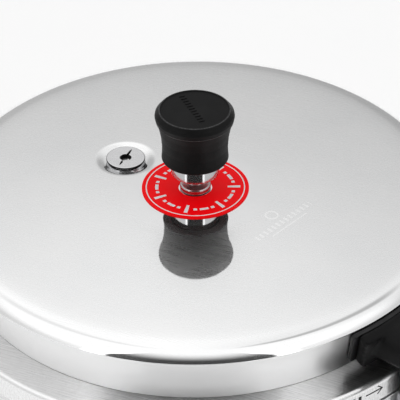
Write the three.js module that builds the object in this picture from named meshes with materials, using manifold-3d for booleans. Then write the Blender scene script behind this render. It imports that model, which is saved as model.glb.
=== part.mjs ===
// Stovetop pressure cooker with an outer lid, a weight valve and long handles.
// Millimetres, +Z up. Origin: centre of the pot's underside on the hob.
import * as THREE from "three";
import { mergeVertices } from "three/addons/utils/BufferGeometryUtils.js";
import Module from "manifold-3d";

const wasm = await Module();
wasm.setup();

// ---- Driving sizes -------------------------------------------------------
const SEG = 56;
const SEG_SMALL = 24;
const SEG_FINE = 30;
const gap = 0.35;

// Pot: a wide body under a narrower neck.
const potR = 118;
const potWall = 3.2;
const potFloor = 4;
const shoulderZ = 122;
const potCorner = 16;
const shoulderRound = 2.5;
const shoulderFlatR = 110;
const collarDrop = 10;
const collarStep = 0.8;

// Lid: rim crease at rimZ, skirt leaning in below it.
const rimR = 110;
const skirtDrop = 24.2;
const skirtLean = 8.4;
const skirtLift = 0.8;
const rimZ = shoulderZ + skirtLift + skirtDrop;
const lidT = 2.5;
const domeRise = 6;
const lidTopZ = rimZ + domeRise;
const centreFlatR = 26;

// Bayonet: tabs on the skirt pass the gaps in the pot's flange, then turn under it.
const lugCount = 8;
const lugHalfDeg = 6;
const gapHalfDeg = 7;
const turnDeg = 14;
const lugT = 2.2;
const lugPlay = 0.6;
const neckPlay = 0.6;
const lugReach = 4.6;
const flangeT = 2.5;
const flangeOverlap = 3.8;
const skirtBottomR = rimR - skirtLean;
const skirtInnerR = skirtBottomR - lidT;
const lugInR = skirtInnerR - lugReach;
const neckR = lugInR - neckPlay;
const neckInR = neckR - 3;
const lugTopZ = rimZ - skirtDrop + lugT;
const flangeZ = lugTopZ + lugPlay;
const flangeR = lugInR + flangeOverlap;
const neckTopZ = rimZ - 9.6;

// Handles: directions about the pot's axis.
const lidHandleDeg = -42.9;
const bodyHandleDeg = lidHandleDeg + turnDeg;
const helperDeg = bodyHandleDeg + 180;
const bracketT = 2;
const rivetR = 2;
const rivetHeadR = 3.8;
const rivetHeadT = 1.2;
const tabT = 3;
const tabHalf = 8;
const screwR = 2;

// Vent and weight, on the lid's centre.
const ventFlangeR = 6.6;
const ventTubeR = 3.6;
const ventBoreR = 1.6;
const ventStubR = 4.2;
const ventTop = 14;
const labelR = 23;
const labelT = 0.3;
const weightR = 10.3;
const weightFoot = 8.3;
const weightTop = 29.5;
const cavityR = 5.6;
const cavityTop = 17;
const capFoot = 16;
const capFootR = 14.25;
const capRidgeR = 16.8;
const capRidge = 36.8;
const capTop = 39.9;
const capTopR = 14.6;

// Safety plug, left of and behind the vent.
const plugX = -30.3;
const plugY = 22.4;
const plugR = 8.5;
const plugHeadT = 1.85;
const dimpleR = 12.2;
const dimpleDepth = 0.9;
const plugSlotDeg = 67;

// ---- Materials -----------------------------------------------------------
const polished = () => new THREE.MeshStandardMaterial({ color: 0xd9dadb, roughness: 0.14, metalness: 1 });
const steel = () => new THREE.MeshStandardMaterial({ color: 0xb9bbbf, roughness: 0.28, metalness: 1 });
const brass = () => new THREE.MeshStandardMaterial({ color: 0xb08d4a, roughness: 0.35, metalness: 1 });
const bakelite = () => new THREE.MeshStandardMaterial({ color: 0x151516, roughness: 0.42, metalness: 0 });
const painted = () => new THREE.MeshStandardMaterial({ color: 0x1d1d1f, roughness: 0.5, metalness: 0.2 });
const rubber = () => new THREE.MeshStandardMaterial({ color: 0x5b5d61, roughness: 0.8, metalness: 0 });
const redPrint = () => new THREE.MeshStandardMaterial({ color: 0xc3121c, roughness: 0.4, metalness: 0 });
const fusible = () => new THREE.MeshStandardMaterial({ color: 0x8d9095, roughness: 0.5, metalness: 1 });

// ---- Shape helpers -------------------------------------------------------
const rad = THREE.MathUtils.degToRad;

function volumeSign(positions, index) {
  let sum = 0;
  for (let i = 0; i < index.length; i += 3) {
    const [a, b, c] = [index[i] * 3, index[i + 1] * 3, index[i + 2] * 3];
    const p = positions;
    sum += p[a] * (p[b + 1] * p[c + 2] - p[b + 2] * p[c + 1]);
    sum += p[a + 1] * (p[b + 2] * p[c] - p[b] * p[c + 2]);
    sum += p[a + 2] * (p[b] * p[c + 1] - p[b + 1] * p[c]);
  }
  return Math.sign(sum);
}

// Weld a three.js geometry, drop its collapsed triangles, turn it outward, make it a solid.
function solid(geometry) {
  const bare = geometry.clone();
  bare.deleteAttribute("normal");
  bare.deleteAttribute("uv");
  const welded = mergeVertices(bare, 1e-4);
  const positions = welded.attributes.position.array;
  const kept = [];
  const source = welded.index.array;
  for (let i = 0; i < source.length; i += 3) {
    const [a, b, c] = [source[i], source[i + 1], source[i + 2]];
    if (a !== b && b !== c && c !== a) kept.push(a, b, c);
  }
  if (volumeSign(positions, kept) < 0) {
    for (let i = 0; i < kept.length; i += 3) [kept[i + 1], kept[i + 2]] = [kept[i + 2], kept[i + 1]];
  }
  const vertProperties = new Float32Array(positions);
  const triVerts = new Uint32Array(kept);
  return new wasm.Manifold(new wasm.Mesh({ numProp: 3, vertProperties, triVerts }));
}

function geometryOf(body) {
  const data = body.getMesh();
  const geometry = new THREE.BufferGeometry();
  geometry.setAttribute("position", new THREE.BufferAttribute(new Float32Array(data.vertProperties), 3));
  geometry.setIndex(new THREE.BufferAttribute(new Uint32Array(data.triVerts), 1));
  geometry.computeVertexNormals();
  return geometry;
}

// Turn an [r, z] profile about the Z axis.
function turned(profile, segments = SEG) {
  const points = profile.map(([r, z]) => new THREE.Vector2(r, z));
  return solid(new THREE.LatheGeometry(points, segments).rotateX(Math.PI / 2));
}

// A washer or tube: a rectangular section turned about Z.
function tube(r0, r1, z0, z1, segments = SEG_SMALL) {
  return turned([[r0, z0], [r1, z0], [r1, z1], [r0, z1], [r0, z0]], segments);
}

function rod(r, z0, z1, segments = SEG_SMALL) {
  return turned([[0, z0], [r, z0], [r, z1], [0, z1]], segments);
}

// Extrude a plan outline between two heights, its edges bevelled.
function slab(shape, z0, z1, bevel = 0) {
  const options = { depth: z1 - z0 - 2 * bevel, curveSegments: 5, bevelEnabled: bevel > 0 };
  options.bevelThickness = bevel;
  options.bevelSize = bevel;
  options.bevelOffset = -bevel;
  options.bevelSegments = 2;
  return solid(new THREE.ExtrudeGeometry(shape, options).translate(0, 0, z0 + bevel));
}

// Extrude a [y, z] outline along +X between two radii.
function sideways(shape, x0, x1) {
  const geometry = new THREE.ExtrudeGeometry(shape, { depth: x1 - x0, curveSegments: 5, bevelEnabled: false });
  geometry.rotateZ(Math.PI / 2).rotateY(Math.PI / 2).translate(x0, 0, 0);
  return solid(geometry);
}

function sector(r0, r1, fromDeg, toDeg) {
  const shape = new THREE.Shape();
  shape.absarc(0, 0, r1, rad(fromDeg), rad(toDeg), false);
  shape.absarc(0, 0, r0, rad(toDeg), rad(fromDeg), true);
  shape.closePath();
  return shape;
}

// A four-sided outline, symmetric about its middle, corners rounded.
function taperedPlate(halfTop, halfBottom, zBottom, zTop, corner) {
  const shape = new THREE.Shape();
  shape.moveTo(-halfBottom + corner, zBottom);
  shape.lineTo(halfBottom - corner, zBottom);
  shape.quadraticCurveTo(halfBottom, zBottom, halfBottom, zBottom + corner);
  shape.lineTo(halfTop, zTop - corner);
  shape.quadraticCurveTo(halfTop, zTop, halfTop - corner, zTop);
  shape.lineTo(-halfTop + corner, zTop);
  shape.quadraticCurveTo(-halfTop, zTop, -halfTop, zTop - corner);
  shape.lineTo(-halfBottom, zBottom + corner);
  shape.quadraticCurveTo(-halfBottom, zBottom, -halfBottom + corner, zBottom);
  return shape;
}

function hexagon(acrossFlats) {
  const shape = new THREE.Shape();
  const r = acrossFlats / Math.sqrt(3);
  for (let i = 0; i < 6; i += 1) {
    const angle = rad(60 * i + 30);
    const [x, y] = [r * Math.cos(angle), r * Math.sin(angle)];
    if (i === 0) shape.moveTo(x, y);
    else shape.lineTo(x, y);
  }
  shape.closePath();
  return shape;
}

// Lay a Z-axis solid along +X through the point (x, y, z).
function alongX(body, x, y, z) {
  return body.rotate([0, 90, 0]).translate([x, y, z]);
}

function place(parent, name, body, material) {
  const mesh = new THREE.Mesh(geometryOf(body), material);
  mesh.name = name;
  parent.add(mesh);
  return mesh;
}

// ---- Pot -----------------------------------------------------------------
function arc(cx, cz, r, fromDeg, toDeg, steps) {
  const points = [];
  for (let i = 0; i <= steps; i += 1) {
    const a = rad(fromDeg + ((toDeg - fromDeg) * i) / steps);
    points.push([cx + r * Math.cos(a), cz + r * Math.sin(a)]);
  }
  return points;
}

const collarR = potR - collarStep;
const collarZ = shoulderZ - collarDrop;
const roundZ = shoulderZ - 1.3 - shoulderRound;
const potInR = collarR - potWall;

function potProfile() {
  const roundR = collarR - shoulderRound;
  return [
    [0, 0],
    [potR - potCorner, 0],
    ...arc(potR - potCorner, potCorner, potCorner, -70, 0, 3),
    [potR, collarZ - 0.8],
    [collarR, collarZ],
    ...arc(roundR, roundZ, shoulderRound, 0, 75, 3),
    [shoulderFlatR, shoulderZ],
    [neckR + 0.4, shoulderZ],
    [neckR, shoulderZ + 0.4],
    [neckR, flangeZ],
    [flangeR, flangeZ],
    [flangeR, flangeZ + flangeT - 0.5],
    [flangeR - 0.5, flangeZ + flangeT],
    [neckR, flangeZ + flangeT],
    [neckR, neckTopZ - 0.8],
    [neckR - 0.8, neckTopZ],
    [neckInR, neckTopZ],
    [neckInR, shoulderZ - potWall + 1],
    [neckInR + 2.5, shoulderZ - potWall - 0.5],
    [shoulderFlatR - 1, shoulderZ - potWall - 0.5],
    [potInR - 1.5, shoulderZ - potWall - 2.2],
    [potInR, shoulderZ - potWall - 4.5],
    [potInR, potCorner],
    ...arc(potInR - potCorner + potFloor, potCorner, potCorner - potFloor, -25, -70, 2),
    [potInR - potCorner, potFloor],
    [0, potFloor],
  ];
}

// Holes for the two rivets of a bracket on the pot's upright wall.
function wallRivetHoles(deg, spread, z) {
  const hole = rod(rivetR + gap, 0, 24, 16);
  const pair = [-spread, spread].map((y) => alongX(hole, potR - 16, y, z));
  return pair[0].add(pair[1]).rotate([0, 0, deg]);
}

const bodyRivetSpread = 20;
const bodyRivetZ = shoulderZ - 21;
const helperRivetSpread = 15;

function potBody() {
  let body = turned(potProfile());
  for (let i = 0; i < lugCount; i += 1) {
    const mid = lidHandleDeg + (360 * i) / lugCount;
    const wedge = slab(sector(neckR, flangeR + 2, mid - gapHalfDeg, mid + gapHalfDeg), flangeZ - 1, flangeZ + flangeT + 1);
    body = body.subtract(wedge);
  }
  body = body.subtract(wallRivetHoles(bodyHandleDeg, bodyRivetSpread, bodyRivetZ));
  return body.subtract(wallRivetHoles(helperDeg, helperRivetSpread, bodyRivetZ));
}

// ---- Lid -----------------------------------------------------------------
// Radius of the skirt's outer face at a height below the rim.
const skirtR = (drop) => rimR - (skirtLean * drop) / skirtDrop;

function lidProfile() {
  const low = rimZ - skirtDrop;
  return [
    [0, lidTopZ],
    [centreFlatR, lidTopZ],
    [rimR - 60, lidTopZ - 0.38],
    [rimR - 35, lidTopZ - 0.93],
    [rimR - 18, lidTopZ - 1.32],
    [rimR - 12, lidTopZ - 1.56],
    [rimR - 7, rimZ + 4.03],
    [rimR - 4, rimZ + 3.15],
    [rimR - 1.6, rimZ + 1.7],
    [rimR, rimZ],
    [skirtR(skirtDrop - 1), low + 1],
    [skirtBottomR - 0.6, low],
    [lugInR, low],
    [lugInR, low + lugT],
    [skirtInnerR + skirtLean * lugT / skirtDrop, low + lugT],
    [skirtR(6) - lidT, rimZ - 6],
    [skirtR(4) - lidT - 1, rimZ - 0.6 - lidT],
    [rimR - 7, rimZ + 3.1 - lidT],
    [rimR - 12, rimZ + 4.2 - lidT],
    [rimR - 18, lidTopZ - 1.32 - lidT],
    [rimR - 35, lidTopZ - 0.93 - lidT],
    [centreFlatR, lidTopZ - lidT],
    [0, lidTopZ - lidT],
  ];
}

const lidRivetSpread = 13;
const lidRivetDrop = 13.5;
const dimpleFloorZ = lidTopZ - 0.08 - dimpleDepth;
const bossBottomZ = lidTopZ - lidT - 1.2;

function lidShell() {
  let shell = turned(lidProfile());
  const low = rimZ - skirtDrop;
  const pitch = 360 / lugCount;
  for (let i = 0; i < lugCount; i += 1) {
    const mid = lidHandleDeg + pitch * (i + 0.5);
    const half = pitch / 2 - lugHalfDeg;
    const wedge = slab(sector(lugInR - 3, skirtInnerR - 0.2, mid - half, mid + half), low - 1, low + lugT + 0.2);
    shell = shell.subtract(wedge);
  }
  const boss = rod(plugR + 3.5, bossBottomZ, lidTopZ - lidT + 0.4).translate([plugX, plugY, 0]);
  const dish = turned([[0, dimpleFloorZ], [plugR + 0.8, dimpleFloorZ], [dimpleR, lidTopZ + 0.1], [0, lidTopZ + 0.1]], SEG_FINE);
  shell = shell.add(boss).subtract(dish.translate([plugX, plugY, 0]));
  shell = shell.subtract(rod(ventStubR + gap, rimZ - 5, lidTopZ + 5));
  shell = shell.subtract(rod(ventStubR + gap, rimZ - 5, lidTopZ + 5).translate([plugX, plugY, 0]));
  const hole = rod(rivetR + gap, 0, 16, 16);
  const holes = [-lidRivetSpread, lidRivetSpread].map((y) => alongX(hole, rimR - 14, y, rimZ - lidRivetDrop));
  return shell.subtract(holes[0].add(holes[1]).rotate([0, 0, lidHandleDeg]));
}

// A band of the skirt's cone between two offsets from its outer face.
function skirtBand(inner, outer) {
  const [top, low] = [rimZ + 2, rimZ - skirtDrop - 2];
  const [a, b] = [skirtR(-2), skirtR(skirtDrop + 2)];
  return turned([[b + inner, low], [b + outer, low], [a + outer, top], [a + inner, top], [b + inner, low]]);
}

// Everything inside the skirt's cone grown by an offset.
function skirtCone(offset) {
  const [top, low] = [rimZ + 2, rimZ - skirtDrop - 2];
  return turned([[0, low], [skirtR(skirtDrop + 2) + offset, low], [skirtR(-2) + offset, top], [0, top]]);
}

// ---- Sealing ring --------------------------------------------------------
function sealingRing() {
  const low = neckTopZ + gap;
  const high = rimZ + 1.4 - lidT;
  const [inR, outR] = [neckInR - 2.4, skirtR(9) - lidT - 1];
  return turned([
    [inR + 1, low], [neckInR - 0.2, low + 0.6], [neckR + 1.2, low], [outR - 1, low], [outR, low + 1],
    [outR, high - 2.2], [outR - 2, high], [inR + 4, high + 1], [inR, high - 0.6],
    [inR + 3.5, low + 4], [inR, low + 1.6], [inR + 1, low],
  ]);
}

// ---- Handles -------------------------------------------------------------
// Plan outline of a long grip: root, waist, swelling, round end.
function gripPlan(x0, x1, rootHalf, waistHalf, endHalf) {
  const shape = new THREE.Shape();
  const waistX = x0 + (x1 - x0) * 0.42;
  const endX = x1 - endHalf * 0.8;
  shape.moveTo(x0, -rootHalf);
  shape.bezierCurveTo(x0 + 22, -rootHalf, waistX - 34, -waistHalf, waistX, -waistHalf);
  shape.bezierCurveTo(waistX + 30, -waistHalf, endX - 30, -endHalf, endX, -endHalf);
  shape.quadraticCurveTo(x1, -endHalf, x1, 0);
  shape.quadraticCurveTo(x1, endHalf, endX, endHalf);
  shape.bezierCurveTo(endX - 30, endHalf, waistX + 30, waistHalf, waistX, waistHalf);
  shape.bezierCurveTo(waistX - 34, waistHalf, x0 + 22, rootHalf, x0, rootHalf);
  shape.closePath();
  return shape;
}

function box(x0, x1, halfY, z0, z1) {
  const shape = new THREE.Shape();
  shape.moveTo(x0, -halfY);
  shape.lineTo(x1, -halfY);
  shape.lineTo(x1, halfY);
  shape.lineTo(x0, halfY);
  shape.closePath();
  return slab(shape, z0, z1);
}

// Pan-head screw driven up through a handle into its bracket's tab.
function handleScrew(zHead, zTip) {
  return turned([
    [0, zHead], [3.2, zHead + 0.3], [3.8, zHead + 1.2], [3.8, zHead + 2.2],
    [screwR, zHead + 2.2], [screwR, zTip - 1], [screwR - 0.8, zTip], [0, zTip],
  ], 24);
}

// Bore and counterbore for that screw, cut from below.
function screwRoom(x, zHead, zTip) {
  const bore = rod(screwR + gap, zHead - 30, zTip + gap, 24);
  return bore.add(rod(3.8 + gap, zHead - 30, zHead + 2.2 + gap, 24)).translate([x, 0, 0]);
}

function rivet(xOut, xIn) {
  const length = xOut - xIn;
  return turned([
    [0, 0], [rivetHeadR - 1, 0], [rivetHeadR, 0.6], [rivetHeadR, rivetHeadT], [rivetR, rivetHeadT],
    [rivetR, length - rivetHeadT], [rivetHeadR, length - rivetHeadT],
    [rivetHeadR, length - 0.6], [rivetHeadR - 1, length], [0, length],
  ], 14);
}

// Lid handle: bracket on the skirt's cone, bakelite root plate and grip.
const lidTabZ = rimZ - 11;
const lidScrewX = rimR + 24;
const lidGripLow = rimZ - 17.5;
const lidGripHigh = rimZ - 1.5;
const lidHandleEnd = rimR + 168;

function lidBracket() {
  const outline = taperedPlate(25.5, 20.7, rimZ - skirtDrop + 5, rimZ - 0.9, 1);
  const plate = skirtBand(gap, gap + bracketT).intersect(sideways(outline, rimR - 50, rimR + 30));
  const tab = box(rimR - 6, lidScrewX + 8, tabHalf, lidTabZ, lidTabZ + tabT);
  let body = plate.add(tab.subtract(skirtCone(gap + 0.6)));
  body = body.subtract(rod(screwR + gap, lidTabZ - 5, lidTabZ + 10, 20).translate([lidScrewX, 0, 0]));
  const hole = rod(rivetR + gap, 0, 16, 16);
  for (const y of [-lidRivetSpread, lidRivetSpread]) {
    body = body.subtract(alongX(hole, rimR - 14, y, rimZ - lidRivetDrop));
  }
  return body;
}

function lidHandle() {
  const outline = taperedPlate(24, 19.2, rimZ - skirtDrop + 5, rimZ - 0.9, 1.2);
  const near = gap + bracketT + gap;
  const root = skirtBand(near, near + 5).intersect(sideways(outline, rimR - 50, rimR + 30));
  const grip = slab(gripPlan(rimR - 6, lidHandleEnd, 18, 13.5, 16), lidGripLow, lidGripHigh, 3);
  let body = grip.subtract(skirtCone(near)).add(root);
  body = body.subtract(box(rimR - 8, lidScrewX + 8 + gap, tabHalf + gap, lidTabZ - gap, lidTabZ + tabT + gap));
  body = body.subtract(screwRoom(lidScrewX, lidGripLow + 1, lidTabZ + tabT + 2));
  for (const y of [-lidRivetSpread, lidRivetSpread]) {
    const pocket = rod(rivetHeadR + gap, 0, 8, 24);
    body = body.subtract(alongX(pocket, rimR - 7, y, rimZ - lidRivetDrop));
  }
  return body;
}

// Pot-side brackets and handles, on the upright wall.
const wallPlateLow = shoulderZ - 30;
const wallPlateHigh = shoulderZ - 13.5;
const bodyTabZ = shoulderZ - 14.5;
const bodyScrewX = potR + 20;
const bodyGripLow = shoulderZ - 21;
const bodyGripHigh = rimZ - 21;
const bodyHandleEnd = potR + 172;

function wallBand(inner, outer) {
  return tube(potR + inner, potR + outer, 0, rimZ + 20, SEG);
}

function wallBracket(half, spread) {
  const plate = wallBand(gap, gap + bracketT);
  const outline = taperedPlate(half, half, wallPlateLow, wallPlateHigh, 2);
  const tab = box(potR - 2, bodyScrewX + 8, tabHalf + 3, bodyTabZ - tabT, bodyTabZ);
  let body = plate.intersect(sideways(outline, potR - 38, potR + 32)).add(tab.subtract(rod(potR + gap + 0.6, 0, 200, SEG)));
  body = body.subtract(rod(screwR + gap, bodyTabZ - 9, bodyTabZ + 9, 20).translate([bodyScrewX, 0, 0]));
  const hole = rod(rivetR + gap, 0, 24, 16);
  for (const y of [-spread, spread]) body = body.subtract(alongX(hole, potR - 16, y, bodyRivetZ));
  return body;
}

// Bakelite handle on such a bracket: root plate and grip, with room for tab, screw and rivets.
function wallHandle(plan, rootHalf, rootLow, rootHigh, spread) {
  const near = gap + bracketT + gap;
  const outline = taperedPlate(rootHalf, rootHalf - 3, rootLow, rootHigh, 3);
  const root = wallBand(near, near + 5.5).intersect(sideways(outline, potR - 38, potR + 32));
  const grip = slab(plan, bodyGripLow, bodyGripHigh, 3.5);
  let body = grip.subtract(rod(potR + near, 0, 200, SEG)).add(root);
  const tabRoom = box(potR - 4, bodyScrewX + 8 + gap, tabHalf + 3 + gap, bodyTabZ - tabT - gap, bodyTabZ + gap);
  body = body.subtract(tabRoom);
  body = body.subtract(screwRoom(bodyScrewX, bodyGripLow + 1, bodyTabZ + 2));
  for (const y of [-spread, spread]) {
    const pocket = rod(rivetHeadR + gap, 0, 10, 24);
    body = body.subtract(alongX(pocket, potR - 6, y, bodyRivetZ));
  }
  return body;
}

function helperPlan() {
  const shape = new THREE.Shape();
  const [x0, x1] = [potR - 4, potR + 36];
  shape.moveTo(x0, -27);
  shape.lineTo(x1 - 14, -25);
  shape.quadraticCurveTo(x1, -23, x1, 0);
  shape.quadraticCurveTo(x1, 23, x1 - 14, 25);
  shape.lineTo(x0, 27);
  shape.closePath();
  return shape;
}

// ---- Vent, label and weight ----------------------------------------------
const lidUnder = lidTopZ - lidT;

function ventTube() {
  const z = lidTopZ;
  return turned([
    [ventBoreR, z - 14], [ventStubR, z - 14], [ventStubR, z + 0.25], [ventFlangeR - 0.5, z + 0.25],
    [ventFlangeR, z + 0.7], [ventFlangeR, z + 2.4], [ventFlangeR - 0.8, z + 3], [ventTubeR, z + 3.2],
    [ventTubeR, z + ventTop - 2.5], [ventTubeR - 0.9, z + ventTop], [ventBoreR, z + ventTop], [ventBoreR, z - 14],
  ], SEG_FINE);
}

function nut(acrossFlats, z0, z1) {
  return slab(hexagon(acrossFlats), z0, z1, 0.5).subtract(rod(ventStubR + gap, z0 - 2, z1 + 2));
}

function weightBody() {
  const z = lidTopZ;
  const body = turned([
    [0, z + cavityTop], [cavityR, z + cavityTop], [cavityR, z + weightFoot + 1], [cavityR + 1, z + weightFoot],
    [weightR - 1, z + weightFoot], [weightR, z + weightFoot + 1], [weightR, z + weightTop - 0.6],
    [weightR - 0.6, z + weightTop], [0, z + weightTop],
  ], SEG_FINE);
  return body.subtract(rod(1.8 + gap, z + cavityTop - 2, z + cavityTop + 6, 20));
}

function weightNeedle() {
  const z = lidTopZ;
  return turned([
    [0, z + ventTop - 3.2], [0.5, z + ventTop - 2], [1.1, z + ventTop - 0.5], [1.1, z + cavityTop - 1.2],
    [1.8, z + cavityTop - 1], [1.8, z + cavityTop + 5.5], [0, z + cavityTop + 5.5],
  ], 14);
}

// Open spring ring that grips the tube's side inside the weight.
function weightClip() {
  const z = lidTopZ + weightFoot + 1.4;
  const ring = tube(ventTubeR + 0.35, cavityR - 0.45, z, z + 1.6, 32);
  return ring.subtract(box(0, 10, 0.9, z - 1, z + 3));
}

function weightCap() {
  const z = lidTopZ;
  return turned([
    [0, z + weightTop + gap], [weightR + gap, z + weightTop + gap], [weightR + gap, z + capFoot],
    [capFootR - 0.5, z + capFoot], [capFootR, z + capFoot + 0.6], [13.95, z + 19], [13.95, z + 23],
    [14.35, z + 27], [15.1, z + 31], [16.1, z + 34.4], [capRidgeR, z + capRidge - 0.6],
    [capRidgeR, z + capRidge + 0.4], [16.1, z + 38.4], [15.3, z + capTop - 0.5], [capTopR, z + capTop],
    [capTopR - 1.1, z + capTop], [capTopR - 1.4, z + capTop - 0.4], [0, z + capTop - 0.4],
  ], SEG_FINE + 6);
}

// ---- Safety plug (built about its own axis) ------------------------------
function plugBody() {
  const z = dimpleFloorZ + 0.25;
  const body = turned([
    [1.9 + 0.2, z - 12], [ventStubR, z - 12], [ventStubR, z], [plugR - 0.7, z], [plugR, z + 0.6],
    [plugR, z + plugHeadT - 0.6], [plugR - 0.7, z + plugHeadT], [3.2, z + plugHeadT], [2.1, z + plugHeadT - 0.9],
    [2.1, z - 12],
  ], SEG_FINE);
  const slot = box(-6.2, 6.2, 0.55, z + plugHeadT - 0.7, z + plugHeadT + 1);
  return body.subtract(slot.rotate([0, 0, plugSlotDeg]));
}

function plugCore() {
  const z = dimpleFloorZ + 0.25;
  return rod(1.85, z - 11.5, z + plugHeadT - 1.1, 20);
}

// ---- Assembly ------------------------------------------------------------
const cooker = new THREE.Group();
cooker.name = "pressure_cooker";

function turnedGroup(deg) {
  const group = new THREE.Group();
  group.rotation.z = rad(deg);
  cooker.add(group);
  return group;
}

place(cooker, "pot_body", potBody(), polished());

const plateOut = potR + gap + bracketT;
const wallRivetOut = plateOut + gap + rivetHeadT;
const wallRivetIn = potInR - 4.3;

const bodySide = turnedGroup(bodyHandleDeg);
place(bodySide, "body_handle_bracket", wallBracket(33, bodyRivetSpread), steel());
const bodyPlan = gripPlan(potR - 4, bodyHandleEnd, 22, 14.5, 17);
const bodyGrip = wallHandle(bodyPlan, 35, wallPlateLow - 3, bodyGripHigh, bodyRivetSpread);
place(bodySide, "body_handle", bodyGrip, bakelite());
const bodyScrew = place(bodySide, "body_handle_screw", handleScrew(bodyGripLow + 1, bodyTabZ + 2), steel());
bodyScrew.position.x = bodyScrewX;

const helperSide = turnedGroup(helperDeg);
place(helperSide, "helper_handle_bracket", wallBracket(25, helperRivetSpread), steel());
const helperGrip = wallHandle(helperPlan(), 27, wallPlateLow - 3, bodyGripHigh, helperRivetSpread);
place(helperSide, "helper_handle", helperGrip, bakelite());
const helperScrew = place(helperSide, "helper_handle_screw", handleScrew(bodyGripLow + 1, bodyTabZ + 2), steel());
helperScrew.position.x = bodyScrewX;

// Where a rivet's wall faces stand at a distance off the middle line.
const chord = (r, y) => Math.sqrt(r * r - y * y);

for (const [side, label, spread] of [[bodySide, "body", bodyRivetSpread], [helperSide, "helper", helperRivetSpread]]) {
  for (const [y, end] of [[-spread, "left"], [spread, "right"]]) {
    const low = chord(potInR, Math.abs(y) + rivetHeadR) - gap - 1.2 - rivetHeadT;
    const high = chord(plateOut, Math.abs(y) - rivetHeadR) + gap + rivetHeadT;
    const body = alongX(rivet(high, low), low, y, bodyRivetZ);
    place(side, `${label}_bracket_rivet_${end}`, body, steel());
  }
}

place(cooker, "sealing_ring", sealingRing(), rubber());
place(cooker, "lid_shell", lidShell(), polished());

const lidSide = turnedGroup(lidHandleDeg);
place(lidSide, "lid_handle_bracket", lidBracket(), painted());
place(lidSide, "lid_handle", lidHandle(), bakelite());
const lidScrew = place(lidSide, "lid_handle_screw", handleScrew(lidGripLow + 1, lidTabZ + tabT + 2), steel());
lidScrew.position.x = lidScrewX;
for (const [y, end] of [[-lidRivetSpread, "left"], [lidRivetSpread, "right"]]) {
  const far = Math.abs(y) + rivetHeadR;
  const near = Math.abs(y) - rivetHeadR;
  const low = chord(skirtR(lidRivetDrop + rivetHeadR) - lidT, far) - gap - rivetHeadT;
  const high = chord(skirtR(lidRivetDrop - rivetHeadR) + gap + bracketT, near) + gap + rivetHeadT;
  place(lidSide, `lid_bracket_rivet_${end}`, alongX(rivet(high, low), low, y, rimZ - lidRivetDrop), steel());
}

place(cooker, "vent_label", tube(ventFlangeR + 0.6, labelR, lidTopZ + 0.05, lidTopZ + 0.05 + labelT, SEG_FINE + 10), redPrint());
place(cooker, "vent_tube", ventTube(), brass());
place(cooker, "vent_washer", tube(ventStubR + gap, 9, lidUnder - gap - 1.5, lidUnder - gap), rubber());
place(cooker, "vent_nut", nut(15, lidUnder - 2 * gap - 6.5, lidUnder - 2 * gap - 1.5), brass());

const plug = new THREE.Group();
plug.position.set(plugX, plugY, 0);
cooker.add(plug);
place(plug, "safety_plug_body", plugBody(), steel());
place(plug, "safety_plug_core", plugCore(), fusible());
place(plug, "safety_plug_washer", tube(ventStubR + gap, 9.5, bossBottomZ - gap - 1.5, bossBottomZ - gap), rubber());
place(plug, "safety_plug_nut", nut(14, bossBottomZ - 2 * gap - 5.7, bossBottomZ - 2 * gap - 1.5), brass());

place(cooker, "weight_clip", weightClip(), steel());
place(cooker, "weight_body", weightBody(), steel());
place(cooker, "weight_needle", weightNeedle(), steel());
place(cooker, "weight_cap", weightCap(), bakelite());

export default cooker;
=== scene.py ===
"""Stovetop pressure cooker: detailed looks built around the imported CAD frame. Metres, +Z up."""
import math

import bmesh
import bpy
from mathutils import Matrix, Vector


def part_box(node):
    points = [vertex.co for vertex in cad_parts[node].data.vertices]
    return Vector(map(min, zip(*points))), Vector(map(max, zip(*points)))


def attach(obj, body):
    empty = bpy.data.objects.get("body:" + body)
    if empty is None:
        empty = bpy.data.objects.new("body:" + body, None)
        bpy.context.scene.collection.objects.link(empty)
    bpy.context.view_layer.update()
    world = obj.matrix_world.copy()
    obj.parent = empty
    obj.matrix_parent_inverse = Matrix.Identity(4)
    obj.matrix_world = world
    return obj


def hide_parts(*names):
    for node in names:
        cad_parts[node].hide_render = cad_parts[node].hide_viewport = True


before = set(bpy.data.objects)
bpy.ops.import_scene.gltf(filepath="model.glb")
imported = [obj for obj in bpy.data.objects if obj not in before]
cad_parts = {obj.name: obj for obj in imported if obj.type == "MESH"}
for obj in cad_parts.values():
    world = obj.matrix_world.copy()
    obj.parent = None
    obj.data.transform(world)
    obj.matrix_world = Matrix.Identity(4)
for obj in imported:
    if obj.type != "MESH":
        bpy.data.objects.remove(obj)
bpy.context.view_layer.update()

MM = 0.001
BUFF_ANGLE = math.radians(23)
# Etched band on the lid: its centre in metres and the bearing it runs along.
ETCH_X, ETCH_Y, ETCH_AZ = 0.0365, -0.0245, math.radians(48)
ETCH_COS, ETCH_SIN = math.cos(ETCH_AZ), math.sin(ETCH_AZ)
ETCH_ALONG = ETCH_X * ETCH_COS + ETCH_Y * ETCH_SIN
ETCH_ACROSS = ETCH_Y * ETCH_COS - ETCH_X * ETCH_SIN

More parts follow.
